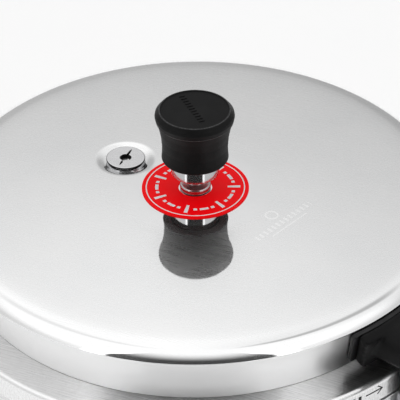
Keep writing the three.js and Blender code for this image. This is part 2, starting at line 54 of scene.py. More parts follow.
# ---- Places, some read from the imported nodes and some given (millimetres here) ---
lid_lo, lid_hi = (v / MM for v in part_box("lid_shell"))
pot_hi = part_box("pot_body")[1] / MM
label_lo, label_hi = (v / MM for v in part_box("vent_label"))
plug_lo, plug_hi = (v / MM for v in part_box("safety_plug_body"))
RIM_R = 110.0
POT_R = 118.0
LID_TOP = lid_hi.z
SKIRT_LOW = lid_lo.z
SKIRT_DROP = 24.2
RIM_Z = SKIRT_LOW + SKIRT_DROP
SKIRT_LEAN = 8.4
LID_T = 2.5
SHOULDER = SKIRT_LOW - 0.8
FLAT = SHOULDER + 0.68
PLUG_X = (plug_lo.x + plug_hi.x) / 2
PLUG_Y = (plug_lo.y + plug_hi.y) / 2
LID_AZ = math.radians(-42.9)
TURN = math.radians(14)
BODY_AZ = LID_AZ + TURN
HELPER_AZ = BODY_AZ + math.pi
LUGS = 8
LUG_T = 2.2
GAP = 0.35
PLATE_T = 2.0
PALE_METAL = (0.90, 0.90, 0.90)
GREY_METAL = (0.70, 0.705, 0.71)


# ---- Mesh helpers ----------------------------------------------------------
def add_object(name, bm, material, sharp=38):
    mesh = bpy.data.meshes.new(name)
    bmesh.ops.recalc_face_normals(bm, faces=bm.faces)
    bm.to_mesh(mesh)
    bm.free()
    for polygon in mesh.polygons:
        polygon.use_smooth = True
    mesh.set_sharp_from_angle(angle=math.radians(sharp))
    obj = bpy.data.objects.new(name, mesh)
    bpy.context.collection.objects.link(obj)
    mesh.materials.append(material)
    return obj


def piece(obj, body, slot_name, *nodes):
    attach(obj, body)
    if nodes:
        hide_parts(*nodes)
    return obj


def fillet(points, steps=6):
    """Round the corners of an [r, z, radius] outline; flat runs get a support point beside each arc."""
    out = []
    count = len(points)
    for i, point in enumerate(points):
        p = Vector(point[:2])
        radius = point[2] if len(point) > 2 else 0
        if radius <= 0 or i in (0, count - 1):
            out.append(tuple(p))
            continue
        a = Vector(points[i - 1][:2]) - p
        b = Vector(points[i + 1][:2]) - p
        half = a.angle(b) / 2
        reach = min(radius / math.tan(half), a.length * 0.48, b.length * 0.48)
        radius = reach * math.tan(half)
        start = p + a.normalized() * reach
        end = p + b.normalized() * reach
        centre = p + (a.normalized() + b.normalized()).normalized() * (radius / math.sin(half))
        out.append(tuple(start + a.normalized() * min(reach * 0.3, (a.length - reach) * 0.4)))
        for k in range(steps + 1):
            t = k / steps
            chord = start.lerp(end, t) - centre
            out.append(tuple(centre + chord.normalized() * radius))
        out.append(tuple(end + b.normalized() * min(reach * 0.3, (b.length - reach) * 0.4)))
    return out


def lathe_bm(profile, segments=128, closed=False, centre=(0, 0), warp=None):
    """Turn [r, z] points (mm) about Z. Points on the axis become one vertex."""
    bm = bmesh.new()
    rings = []
    for r, z in profile:
        if r < 1e-6:
            rings.append([bm.verts.new((centre[0] * MM, centre[1] * MM, z * MM))])
            continue
        ring = []
        for k in range(segments):
            a = 2 * math.pi * k / segments
            x, y, h = r * math.cos(a), r * math.sin(a), z
            if warp:
                h = warp(x, y, z)
            ring.append(bm.verts.new(((x + centre[0]) * MM, (y + centre[1]) * MM, h * MM)))
        rings.append(ring)
    pairs = list(zip(rings, rings[1:]))
    if closed:
        pairs.append((rings[-1], rings[0]))
    for low, high in pairs:
        for k in range(segments):
            n = (k + 1) % segments
            quad = []
            for vert in (low[k % len(low)], low[n % len(low)], high[n % len(high)], high[k % len(high)]):
                if vert not in quad:
                    quad.append(vert)
            if len(quad) > 2:
                bm.faces.new(quad)
    return bm


def lathe(name, profile, material, segments=128, closed=False, centre=(0, 0), sharp=38):
    return add_object(name, lathe_bm(profile, segments, closed, centre), material, sharp)


def turn_about_z(obj, angle, offset=(0, 0, 0)):
    matrix = Matrix.Rotation(angle, 4, "Z") @ Matrix.Translation(Vector(offset) * MM)
    obj.data.transform(matrix)
    return obj


def along_x(obj, x, y, z):
    matrix = Matrix.Translation(Vector((x, y, z)) * MM) @ Matrix.Rotation(math.pi / 2, 4, "Y")
    obj.data.transform(matrix)
    return obj


def join(objs, name):
    bm = bmesh.new()
    for obj in objs:
        bm.from_mesh(obj.data)
    material = objs[0].data.materials[0]
    for obj in objs:
        bpy.data.objects.remove(obj, do_unlink=True)
    mesh = bpy.data.meshes.new(name)
    bm.to_mesh(mesh)
    bm.free()
    obj = bpy.data.objects.new(name, mesh)
    bpy.context.collection.objects.link(obj)
    mesh.materials.append(material)
    return obj


def apply_modifiers(obj):
    graph = bpy.context.evaluated_depsgraph_get()
    mesh = bpy.data.meshes.new_from_object(obj.evaluated_get(graph))
    obj.modifiers.clear()
    obj.data = mesh
    return obj


def cut(obj, cutter):
    modifier = obj.modifiers.new("cut", "BOOLEAN")
    modifier.operation = "DIFFERENCE"
    modifier.object = cutter
    modifier.solver = "EXACT"
    apply_modifiers(obj)
    bpy.data.objects.remove(cutter, do_unlink=True)
    return obj


def shade(obj, sharp=38):
    for polygon in obj.data.polygons:
        polygon.use_smooth = True
    obj.data.set_sharp_from_angle(angle=math.radians(sharp))
    return obj


# ---- Materials ---------------------------------------------------------------
class Nodes:
    """A small builder for one material's node tree, working in object coordinates (metres)."""

    def __init__(self, name, color, roughness, metallic=0.0, **inputs):
        self.material = bpy.data.materials.new(name)
        self.material.use_nodes = True
        self.tree = self.material.node_tree
        self.shader = self.tree.nodes["Principled BSDF"]
        self.shader.inputs["Base Color"].default_value = (*color, 1)
        self.shader.inputs["Roughness"].default_value = roughness
        self.shader.inputs["Metallic"].default_value = metallic
        for key, value in inputs.items():
            self.shader.inputs[key.replace("_", " ")].default_value = value
        self.coords = self.new("ShaderNodeTexCoord").outputs["Object"]

    def new(self, kind, **settings):
        node = self.tree.nodes.new(kind)
        for key, value in settings.items():
            setattr(node, key, value)
        return node

    def link(self, a, b):
        self.tree.links.new(a, b)

    def math(self, operation, a, b=None):
        node = self.new("ShaderNodeMath", operation=operation)
        for index, value in enumerate((a, b)):
            if value is None:
                continue
            if isinstance(value, (int, float)):
                node.inputs[index].default_value = value
            else:
                self.link(value, node.inputs[index])
        return node.outputs[0]

    def mapped(self, scale, rotation=(0, 0, 0), source=None):
        node = self.new("ShaderNodeMapping")
        node.inputs["Scale"].default_value = scale
        node.inputs["Rotation"].default_value = rotation
        self.link(source or self.coords, node.inputs["Vector"])
        return node.outputs[0]

    def noise(self, vector, scale, detail=4.0, roughness=0.55):
        node = self.new("ShaderNodeTexNoise")
        node.inputs["Scale"].default_value = scale
        node.inputs["Detail"].default_value = detail
        node.inputs["Roughness"].default_value = roughness
        self.link(vector, node.inputs["Vector"])
        return node.outputs["Fac"]

    def ramp(self, value, stops):
        node = self.new("ShaderNodeValToRGB")
        elements = node.color_ramp.elements
        while len(elements) < len(stops):
            elements.new(0.5)
        for element, (position, color) in zip(elements, stops):
            element.position = position
            element.color = (*color, 1) if len(color) == 3 else color
        self.link(value, node.inputs["Fac"])
        return node.outputs["Color"]

    def span(self, value, low, high, to_low, to_high):
        node = self.new("ShaderNodeMapRange")
        for key, number in (("From Min", low), ("From Max", high), ("To Min", to_low), ("To Max", to_high)):
            node.inputs[key].default_value = number
        self.link(value, node.inputs["Value"])
        return node.outputs["Result"]

    def mix(self, factor, a, b):
        node = self.new("ShaderNodeMix", data_type="RGBA")
        if isinstance(factor, (int, float)):
            node.inputs["Factor"].default_value = factor
        else:
            self.link(factor, node.inputs["Factor"])
        for socket, value in ((node.inputs["A"], a), (node.inputs["B"], b)):
            if isinstance(value, tuple):
                socket.default_value = (*value, 1)
            else:
                self.link(value, socket)
        return node.outputs["Result"]

    def bump(self, height, strength, distance=0.0001):
        node = self.new("ShaderNodeBump")
        node.inputs["Strength"].default_value = strength
        node.inputs["Distance"].default_value = distance
        self.link(height, node.inputs["Height"])
        self.link(node.outputs["Normal"], self.shader.inputs["Normal"])
        return node

    def to(self, value, name):
        self.link(value, self.shader.inputs[name])

    def length(self, a, b):
        return self.math("SQRT", self.math("ADD", self.math("MULTIPLY", a, a), self.math("MULTIPLY", b, b)))

    def axes(self):
        split = self.new("ShaderNodeSeparateXYZ")
        self.link(self.coords, split.inputs[0])
        return split.outputs

    def radius(self):
        axes = self.axes()
        return self.length(axes[0], axes[1]), axes

    def tool_rings(self, scale, radius, height):
        """Noise that is even around Z, so it draws rings."""
        combine = self.new("ShaderNodeCombineXYZ")
        self.link(radius, combine.inputs[0])
        self.link(height, combine.inputs[2])
        return self.noise(self.mapped((scale, 1, scale), source=combine.outputs[0]), 1.0, 2.0, 0.5)


def etched_band(n, axes):
    """A plain etched row of strokes over a fine line, with a small ring beside its middle."""
    pitch, half_tall, half_long = 0.0026, 0.0014, 0.0175
    line_at, line_half, line_long = 0.0036, 0.0003, 0.011
    ring_at, ring_r, ring_half = 0.0062, 0.0026, 0.0004
    along = n.math("ADD", n.math("MULTIPLY", axes[0], ETCH_COS), n.math("MULTIPLY", axes[1], ETCH_SIN))
    across = n.math("SUBTRACT", n.math("MULTIPLY", axes[1], ETCH_COS), n.math("MULTIPLY", axes[0], ETCH_SIN))
    u = n.math("SUBTRACT", along, ETCH_ALONG)
    v = n.math("SUBTRACT", across, ETCH_ACROSS)

    def within(value, half):
        return n.math("LESS_THAN", n.math("ABSOLUTE", value), half)

    stroke = n.math("LESS_THAN", n.math("SINE", n.math("MULTIPLY", u, 2 * math.pi / pitch)), -0.25)
    row = n.math("MULTIPLY", n.math("MULTIPLY", stroke, within(v, half_tall)), within(u, half_long))
    line = n.math("MULTIPLY", within(n.math("ADD", v, line_at), line_half), within(u, line_long))
    away = n.length(u, n.math("SUBTRACT", v, ring_at))
    ring = within(n.math("SUBTRACT", away, ring_r), ring_half)
    return n.math("MAXIMUM", row, n.math("MAXIMUM", line, ring))


def polished_aluminium(name, haze, sharp_rough=0.035, clear_from=None, satin_below=None, centre=None,
                       etched=False, grey_below=None):
    """Buffed aluminium: a clear reflection under a wide haze, fine buffing lines, smudges.

    clear_from, satin_below and centre are (from, to, share): how much haze there is past a radius, under a
    height and inside a radius. grey_below is (from, to): duller metal under a height.
    """
    n = Nodes(name, PALE_METAL, sharp_rough, 1.0)
    radius, axes = n.radius()
    band = etched_band(n, axes) if etched else None
    turned = n.mapped((1, 1, 1), (0, 0, BUFF_ANGLE))
    lines = n.noise(n.mapped((60, 2600, 400), source=turned), 1.0, 5.0, 0.65)
    smudge = n.noise(n.coords, 26.0, 4.0, 0.6)
    blotch = n.noise(n.coords, 110.0, 5.0, 0.65)
    waves = n.math("MULTIPLY", n.noise(n.coords, 75.0, 2.0), 7.0)
    height = n.math("ADD", n.math("MULTIPLY", lines, 0.25), waves)
    tone = n.ramp(smudge, [(0.3, (0.875, 0.88, 0.885)), (0.7, (0.925, 0.925, 0.925))])
    amount = n.math("ADD", lines, n.math("MULTIPLY", n.math("ADD", smudge, blotch), 0.35))
    amount = n.span(amount, 0.6, 1.1, haze * 0.55, haze * 1.5)

    wide = n.new("ShaderNodeBsdfPrincipled")
    wide.inputs["Base Color"].default_value = (*PALE_METAL, 1)
    wide.inputs["Metallic"].default_value = 1.0
    wide.inputs["Roughness"].default_value = 0.34
    if etched:
        height = n.math("SUBTRACT", height, n.math("MULTIPLY", band, 160.0))
        # The etched strokes are real, with their bump and haze; their whiter colour is a painted highlight,
        # as the strokes catch light.
        tone = n.mix(band, tone, (1.0, 1.0, 1.0))
        n.link(n.mix(band, PALE_METAL, (1.0, 1.0, 1.0)), wide.inputs["Base Color"])
        amount = n.math("MAXIMUM", amount, n.math("MULTIPLY", band, 0.5))
    if grey_below:
        low = n.span(axes[2], grey_below[0], grey_below[1], 1.0, 0.0)
        tone = n.mix(low, tone, GREY_METAL)
        n.link(n.mix(low, PALE_METAL, GREY_METAL), wide.inputs["Base Color"])
    if clear_from:
        amount = n.math("MULTIPLY", amount, n.span(radius, clear_from[0], clear_from[1], 1.0, clear_from[2]))
    if centre:
        amount = n.math("MULTIPLY", amount, n.span(radius, centre[0], centre[1], centre[2], 1.0))
    if satin_below:
        satin = n.span(axes[2], satin_below[0], satin_below[1], satin_below[2], 0.0)
        amount = n.math("MAXIMUM", amount, satin)
    n.bump(height, 0.06, 0.00002)
    n.to(n.span(lines, 0.3, 0.7, sharp_rough * 0.5, sharp_rough * 1.5), "Roughness")
    n.to(tone, "Base Color")
    blend = n.new("ShaderNodeMixShader")
    n.link(amount, blend.inputs[0])
    n.link(n.shader.outputs[0], blend.inputs[1])
    n.link(wide.outputs[0], blend.inputs[2])
    n.link(blend.outputs[0], n.tree.nodes["Material Output"].inputs["Surface"])
    return n.material


def turned_metal(name, color, roughness=0.2, scale=5200):
    """Machined metal with faint tool rings about Z."""
    n = Nodes(name, color, roughness, 1.0)
    radius, axes = n.radius()
    rings = n.tool_rings(scale, radius, axes[2])
    cloud = n.noise(n.coords, 160.0, 3.0)
    n.bump(rings, 0.25, 0.00002)
    n.to(n.span(n.math("ADD", rings, cloud), 0.6, 1.4, roughness * 0.7, roughness * 1.4), "Roughness")
    dark = tuple(c * 0.86 for c in color)
    n.to(n.mix(cloud, dark, color), "Base Color")
    return n.material


def plug_plating_and_shade():
    """Plated plug, with painted shade: its side and the gap round its edge are coloured dark, and so are the
    slot and bore below its face.
    """
    shade_black = (0.02, 0.02, 0.02)
    n = Nodes("plug_metal", (0.80, 0.80, 0.81), 0.24, 1.0)
    axes = n.axes()
    off = n.length(n.math("SUBTRACT", axes[0], PLUG_X * MM), n.math("SUBTRACT", axes[1], PLUG_Y * MM))
    # Painted shade: past 8.2 mm from the plug's axis the head's side is coloured dark, standing for the
    # shadowed gap round the head.
    edge = n.span(off, 0.0082, 0.0084, 0.0, 1.0)
    cloud = n.noise(n.coords, 300.0, 4.0)
    plain = n.mix(cloud, (0.70, 0.70, 0.71), (0.84, 0.84, 0.85))
    # Painted shade: the walls of the slot and bore below the face are coloured dark.
    sunk = n.span(axes[2], (plug_hi.z - 0.80) * MM, (plug_hi.z - 0.68) * MM, 1.0, 0.0)
    sunk = n.math("MULTIPLY", sunk, n.math("LESS_THAN", off, 0.0072))
    dark = n.math("MAXIMUM", edge, sunk)
    n.to(n.mix(dark, plain, shade_black), "Base Color")
    uneven = n.span(cloud, 0.3, 0.7, 0.18, 0.32)
    n.to(n.math("MAXIMUM", uneven, n.math("MULTIPLY", dark, 0.7)), "Roughness")
    n.bump(n.noise(n.coords, 2600.0, 2.0), 0.15, 0.00003)
    return n.material


def moulded_black(name, color, gloss, roughness=0.5, edges=()):
    """Phenolic moulding: fine grain, uneven sheen, pale flecks, and a painted highlight along edges (r, z,
    reach in mm).
    """
    n = Nodes(name, color, roughness, 0.0, Specular_IOR_Level=gloss)
    fine = n.noise(n.coords, 3200.0, 4.0, 0.6)
    broad = n.noise(n.coords, 90.0, 3.0, 0.5)
    n.bump(n.math("ADD", fine, n.math("MULTIPLY", broad, 0.4)), 0.55, 0.00008)
    n.to(n.span(n.math("ADD", fine, broad), 0.7, 1.3, roughness * 0.8, roughness * 1.25), "Roughness")
    pale = tuple(c * 1.9 + 0.004 for c in color)
    fleck = n.ramp(n.noise(n.coords, 5200.0, 2.0, 0.5), [(0.60, color), (0.74, pale)])
    shown = n.mix(n.span(broad, 0.35, 0.7, 0.0, 0.25), fleck, pale)
    if edges:
        # Painted highlight: pale lines along the listed edges, broken up by noise.
        radius, axes = n.radius()
        edge_highlight = None
        for r, height, reach in edges:
            off = n.length(n.math("SUBTRACT", radius, r * MM), n.math("SUBTRACT", axes[2], height * MM))
            near_edge = n.span(off, 0.0, reach * MM, 1.0, 0.0)
            edge_highlight = near_edge if edge_highlight is None else n.math("MAXIMUM", edge_highlight, near_edge)
        edge_highlight = n.math("MULTIPLY", edge_highlight, n.span(n.noise(n.coords, 1400.0, 3.0), 0.35, 0.6, 0.25, 1.0))
        shown = n.mix(edge_highlight, shown, (0.11, 0.11, 0.112))
    n.to(shown, "Base Color")
    return n.material


def satin_black(name):
    """Black stoved paint on sheet steel, with orange peel and worn spots."""
    n = Nodes(name, (0.022, 0.022, 0.023), 0.42, 0.0, Specular_IOR_Level=0.3)
    peel = n.noise(n.coords, 700.0, 2.0, 0.4)
    rub = n.noise(n.coords, 140.0, 4.0, 0.6)
    n.bump(peel, 0.2, 0.00005)
    n.to(n.span(rub, 0.3, 0.7, 0.3, 0.5), "Roughness")
    n.to(n.ramp(rub, [(0.45, (0.010, 0.010, 0.0105)), (0.8, (0.03, 0.03, 0.031))]), "Base Color")
    return n.material


def soft_rubber(name, color=(0.2, 0.2, 0.205)):
    n = Nodes(name, color, 0.65, 0.0, Specular_IOR_Level=0.35)
    fine = n.noise(n.coords, 1800.0, 3.0)
    bloom = n.noise(n.coords, 60.0, 3.0)
    n.bump(fine, 0.3, 0.00006)
    n.to(n.span(fine, 0.3, 0.7, 0.55, 0.78), "Roughness")
    n.to(n.mix(n.span(bloom, 0.35, 0.7, 0.0, 1.0), color, tuple(c * 1.25 for c in color)), "Base Color")
    return n.material


def brushed_sheet(name, color=(0.55, 0.55, 0.57)):
    n = Nodes(name, color, 0.3, 1.0)
    lines = n.noise(n.mapped((60, 60, 3000)), 1.0, 4.0, 0.6)
    cloud = n.noise(n.coords, 110.0, 3.0)
    n.bump(lines, 0.18, 0.00004)
    n.to(n.span(lines, 0.3, 0.7, 0.22, 0.42), "Roughness")
    n.to(n.mix(cloud, tuple(c * 0.88 for c in color), color), "Base Color")
    return n.material


alu_lid = polished_aluminium(
    "buffed_aluminium_lid", 0.27, etched=True, centre=(0.027, 0.036, 0.2), clear_from=(0.098, 0.106, 0.35),
    satin_below=((RIM_Z - 0.6) * MM, (RIM_Z - 0.2) * MM, 0.92))
alu_pot = polished_aluminium(
    "buffed_aluminium_pot", 0.60, 0.05, grey_below=((SHOULDER - 14) * MM, (SHOULDER - 10.5) * MM))
# Painted highlight lines along the knob's top rim and the lower edge of its ridge.
KNOB_HIGHLIGHT_EDGES = ((14.9, LID_TOP + 39.85, 0.45), (16.2, LID_TOP + 34.65, 0.5))
black_knob = moulded_black("phenolic_knob", (0.003, 0.003, 0.0032), gloss=0.16, edges=KNOB_HIGHLIGHT_EDGES)
black_handle = moulded_black("phenolic_handle", (0.003, 0.003, 0.0032), gloss=0.14)
black_paint = satin_black("stoved_black")
steel_weight = turned_metal("weight_steel", (0.62, 0.625, 0.63), 0.10)
steel_small = turned_metal("fastener_steel", (0.60, 0.60, 0.61), 0.26)
steel_sheet = brushed_sheet("bracket_steel")
brass = turned_metal("vent_brass", (0.70, 0.55, 0.30), 0.24)
plug_metal = plug_plating_and_shade()
rubber = soft_rubber("seal_rubber")
# The fusible core is coloured near black as painted shade, so the plug's centre reads as a dark hole.
painted_shade_alloy = turned_metal("fusible_alloy", (0.02, 0.02, 0.021), 0.6, 1500)


# ---- Lid ---------------------------------------------------------------------
def skirt_r(drop):
    return RIM_R - SKIRT_LEAN * drop / SKIRT_DROP


# Slope of the lid's top in degrees at each radius, changing evenly from one to the next.
TOP_SLOPES = [(0, 0), (23, 0), (30, 0.8), (48, 1.25), (70, 1.3), (88, 1.5), (96, 2.2), (100, 3.8),
              (102.3, 9), (104.5, 19), (106.6, 32), (108.5, 43), (110, 56)]


def slope_at(r):
    for (r0, s0), (r1, s1) in zip(TOP_SLOPES, TOP_SLOPES[1:]):
        if r <= r1:
            t = (r - r0) / (r1 - r0)
            return math.tan(math.radians(s0 + (s1 - s0) * t))
    return math.tan(math.radians(TOP_SLOPES[-1][1]))


def top_profile():
    """Heights of the lid's top, integrated from its slopes and scaled to end at the rim."""
    radii = [0, 6, 12, 18, 23]
    radii += [25 + 0.6 * i for i in range(45)]
    radii += [53 + 2.5 * i for i in range(15)]
    radii += [91 + 0.4 * i for i in range(47)]
    radii.append(RIM_R)
    fine, z, table, last = 0.1, 0.0, {}, 0.0
    for r in radii:
        while last < r - 1e-9:
            step = min(fine, r - last)
            z -= slope_at(last + step / 2) * step
            last += step
        table[r] = z
    scale = (LID_TOP - RIM_Z) / -table[RIM_R]
    return [(r, LID_TOP + table[r] * scale) for r in radii]


# Dimple round the plug: where it starts, where its floor starts, and how deep it is.
DIMPLE_R = 13.2
DIMPLE_FLOOR = 8.9
DIMPLE_DEPTH = 0.98


def dimple(x, y, z):
    """Height of the lid's top at a point, sunk where it lies in the plug's dimple."""
    d = math.hypot(x - PLUG_X, y - PLUG_Y)
    if d >= DIMPLE_R:
        return z
    t = (DIMPLE_R - d) / (DIMPLE_R - DIMPLE_FLOOR)
    t = max(0.0, min(1.0, t))
    return z - DIMPLE_DEPTH * t * t * (3 - 2 * t)


def lug_block(bm, r0, r1, z0, z1, mid, half, steps=10):
    """One curved block of a ring, joined loosely to the ring it stands on."""
    rows = []
    for k in range(steps + 1):
        a = mid - half + 2 * half * k / steps
        rows.append([bm.verts.new((r * math.cos(a) * MM, r * math.sin(a) * MM, z * MM))
                     for r, z in ((r0, z0), (r1, z0), (r1, z1), (r0, z1))])
    for a, b in zip(rows, rows[1:]):
        for k in range(4):
            n = (k + 1) % 4
            bm.faces.new((a[k], a[n], b[n], b[k]))
    bm.faces.new(rows[0])
    bm.faces.new(rows[-1][::-1])


def build_lid():
    top = top_profile()
    bottom_r = skirt_r(SKIRT_DROP)
    low_r, under = skirt_r(SKIRT_DROP - 3), LID_TOP - LID_T
    skirt = fillet([
        (RIM_R, RIM_Z), (skirt_r(0.35), RIM_Z - 0.35, 0), (skirt_r(2), RIM_Z - 2, 0),
        (low_r, SKIRT_LOW + 3, 0), (bottom_r, SKIRT_LOW, 0.2), (bottom_r - LID_T, SKIRT_LOW, 0.3),
        (low_r - LID_T, SKIRT_LOW + 3), (skirt_r(5) - LID_T, RIM_Z - 5, 2.5),
        (RIM_R - 7, RIM_Z + 0.1, 4), (RIM_R - 18, LID_TOP - 0.9 - LID_T), (30, under), (0, under),
    ])
    bm = lathe_bm(top + skirt[1:], 448, warp=lambda x, y, z: dimple(x, y, z) if z > under + 0.6 else z)
    lug_in, lug_out = 94.5, bottom_r - LID_T + 0.6
    for i in range(LUGS):
        middle = LID_AZ + i * 2 * math.pi / LUGS
        lug_block(bm, lug_in, lug_out, SKIRT_LOW + 0.02, SKIRT_LOW + LUG_T, middle, math.radians(6))
    return add_object("lid_dome", bm, alu_lid, 30)


piece(build_lid(), "lid", "polished_aluminium", "lid_shell")


# ---- Pot ---------------------------------------------------------------------
def build_pot():
    neck, mouth, flange = 93.9, 90.9, 98.25
    flange_low, flange_t = SKIRT_LOW + LUG_T + 0.6, 2.5
    collar, wall, floor = POT_R - 0.8, 3.2, 4.0
    inner = collar - wall
    top = pot_hi.z
    profile = fillet([
        (0, 0), (POT_R - 16, 0, 0), (POT_R, 0, 15.5), (POT_R, SHOULDER - 10.8, 0.5),
        (collar, SHOULDER - 10, 0.5), (collar, FLAT - 0.5, 2.3), (110, FLAT, 10), (neck + 0.2, FLAT, 0.2),
        (neck, flange_low - 0.2),
        (neck, top, 1.0), (mouth, top, 1.0), (mouth, SHOULDER - 2.4, 1.6), (109, SHOULDER - wall - 0.4, 4),
        (inner, SHOULDER - wall - 3, 2.5), (inner, floor, 11.5), (60, floor, 0), (0, floor),
    ], 8)
    bm = lathe_bm(profile, 256)
    for i in range(LUGS):
        mid = LID_AZ + (i + 0.5) * 2 * math.pi / LUGS
        half = math.pi / LUGS - math.radians(7)
        lug_block(bm, neck - 1.2, flange, flange_low + 0.02, flange_low + flange_t, mid, half, 24)
    return add_object("pot_shell", bm, alu_pot, 40)


piece(build_pot(), "pot", "polished_aluminium", "pot_body")


# ---- Vent label ----------------------------------------------------------------
def label_print():
    """Red print with a thin white ring and plain white marks set round it; the red carries a faint painted
    glow.
    """
    n = Nodes("label_print", (0.72, 0.006, 0.010), 0.5, 0.0, Specular_IOR_Level=0.1)
    radius, axes = n.radius()
    angle = n.math("ARCTAN2", axes[1], axes[0])

    def band(value, low, high):
        above = n.math("GREATER_THAN", value, low)
        below = n.math("LESS_THAN", value, high)
        return n.math("MULTIPLY", above, below)

    marks_round = 7
    ring = band(radius, 0.02075, 0.02125)
    turn = n.math("COSINE", n.math("MULTIPLY", angle, marks_round))
    long_mark = n.math("MULTIPLY", band(radius, 0.0138, 0.0192), n.math("GREATER_THAN", turn, 0.955))
    bar = n.math("MULTIPLY", band(radius, 0.0158, 0.0172), n.math("LESS_THAN", turn, 0.35))
    gap = n.math("LESS_THAN", n.math("COSINE", n.math("MULTIPLY", angle, 3 * marks_round)), 0.75)
    short_mark = n.math("MULTIPLY", bar, gap)
    marks = n.math("MAXIMUM", ring, n.math("MAXIMUM", long_mark, short_mark))
    cloud = n.noise(n.coords, 240.0, 3.0)
    red = n.ramp(cloud, [(0.3, (0.93, 0.0, 0.003)), (0.75, (0.99, 0.0, 0.005))])
    n.to(n.mix(marks, red, (0.93, 0.94, 0.95)), "Base Color")
    n.bump(n.noise(n.coords, 900.0, 3.0), 0.05, 0.00005)
    # Painted light: the red print glows faintly, so it stays bright whatever lights it.
    n.to(n.mix(marks, (1.0, 0.0, 0.002), (0.0, 0.0, 0.0)), "Emission Color")
    n.shader.inputs["Emission Strength"].default_value = 0.16
    n.to(n.span(cloud, 0.3, 0.7, 0.4, 0.52), "Roughness")
    return n.material


label_r = (label_hi.x - label_lo.x) / 2 - 0.1
label_hole = 7.2
label = lathe("label_disc", fillet([
    (label_hole, label_lo.z), (label_r, label_lo.z, 0.1), (label_r, label_hi.z, 0.12),
    (label_hole, label_hi.z),
], 3), label_print(), 160, closed=True, sharp=60)
piece(label, "lid", "red_label", "vent_label")


# ---- Vent tube, washers and nuts -------------------------------------------------
z = LID_TOP
vent = lathe("vent_stem", fillet([
    (1.6, z - 14), (4.2, z - 14, 0.4), (4.2, z + 0.3, 0.1), (6.6, z + 0.3, 0.4), (6.6, z + 2.7, 0.9),
    (4.6, z + 3.1, 0.5), (3.6, z + 3.6, 0.4), (3.6, z + 11.5, 0.3), (2.7, z + 14, 0.3), (1.6, z + 14, 0.1),
    (1.6, z + 2),
], 5), steel_small, 96, closed=True)
piece(vent, "lid", "brass", "vent_tube")


def hex_nut(name, across, z0, z1, hole, material, centre=(0, 0)):
    bm = bmesh.new()
    corner = across / math.sqrt(3)
    loops = []
    for height, grow in ((z0, 0.93), (z0 + 0.6, 1.0), (z1 - 0.6, 1.0), (z1, 0.93)):
        loop = []
        for k in range(6):
            a = math.radians(60 * k + 30)
            x, y = corner * grow * math.cos(a), corner * grow * math.sin(a)
            loop.append(bm.verts.new(((x + centre[0]) * MM, (y + centre[1]) * MM, height * MM)))
        loops.append(loop)
    for a, b in zip(loops, loops[1:]):
        for k in range(6):
            n = (k + 1) % 6
            bm.faces.new((a[k], a[n], b[n], b[k]))
    bm.faces.new(loops[0][::-1])
    bm.faces.new(loops[-1])
    nut = add_object(name, bm, material, 20)
    outline = [(0, z0 - 3), (hole, z0 - 3), (hole, z1 + 3), (0, z1 + 3)]
    bore = lathe(name + "_bore", outline, material, 48, centre=centre)
    return shade(cut(nut, bore), 20)


def ring_piece(name, r0, r1, z0, z1, round_, material, centre=(0, 0)):
    mid = (z0 + z1) / 2
    profile = fillet([
        (r0, mid), (r0, z0, round_), (r1, z0, round_), (r1, z1, round_), (r0, z1, round_), (r0, mid + 0.01),
    ], 4)
    return lathe(name, profile, material, 96, closed=True, centre=centre)


def height_of(node):
    low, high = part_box(node)
    return low.z / MM, high.z / MM


# Nuts and washers pass the threaded stubs with this radius.
STUB_HOLE = 4.55
low, high = height_of("vent_washer")
piece(ring_piece("vent_seal", STUB_HOLE, 9, low, high, 0.4, rubber), "lid", "grey_rubber", "vent_washer")
low, high = height_of("vent_nut")
piece(hex_nut("vent_hex", 15, low, high, STUB_HOLE, brass), "lid", "brass", "vent_nut")

# ---- Safety plug ---------------------------------------------------------------------
p0, p1 = height_of("safety_plug_body")
at_plug = (PLUG_X, PLUG_Y)
plug = lathe("plug_head", fillet([
    (2.1, p0), (4.2, p0, 0.4), (4.2, p1 - 1.85, 0.1), (7.9, p1 - 1.85, 0.2), (7.9, p1 - 1.35, 0.1),
    (8.45, p1 - 1.3, 0.1), (8.45, p1 - 0.65, 0.3), (8.0, p1 - 0.55, 0.2), (2.6, p1 - 0.57, 0.3),
    (2.1, p1 - 1.3, 0.2),
], 5), plug_metal, 96, closed=True, centre=at_plug)
# The slot's cutter is a small plug stretched ten times along one bearing, so the slot's ends taper.
SLOT_STRETCH, SLOT_AZ = 10.0, math.radians(67)
slot_cut = lathe("slot_cut", [(0, p1 - 1.7), (0.66, p1 - 1.7), (0.62, p1 + 1), (0, p1 + 1)], plug_metal, 24)
slot_cut.data.transform(Matrix.Scale(SLOT_STRETCH, 4, (1, 0, 0)))
slot_cut.data.transform(Matrix.Rotation(SLOT_AZ, 4, "Z"))
slot_cut.data.transform(Matrix.Translation(Vector((PLUG_X, PLUG_Y, 0)) * MM))
shade(cut(plug, slot_cut), 30)
piece(plug, "lid", "stainless_steel", "safety_plug_body")
c0, c1 = height_of("safety_plug_core")
# Fusible core, near black: painted shade in the plug's centre.
core = lathe("plug_core", fillet([
    (0, c0), (1.85, c0, 0.3), (1.85, c1 - 1.1, 0.3), (0.9, c1 - 1.35, 0.3), (0, c1 - 1.2),
], 4), painted_shade_alloy, 40, centre=at_plug)
piece(core, "lid", "fusible_alloy", "safety_plug_core")
low, high = height_of("safety_plug_washer")
washer = ring_piece("plug_seal", STUB_HOLE, 9.5, low, high, 0.4, rubber, at_plug)
piece(washer, "lid", "grey_rubber", "safety_plug_washer")
low, high = height_of("safety_plug_nut")
piece(hex_nut("plug_hex", 14, low, high, STUB_HOLE, brass, at_plug), "lid", "brass", "safety_plug_nut")

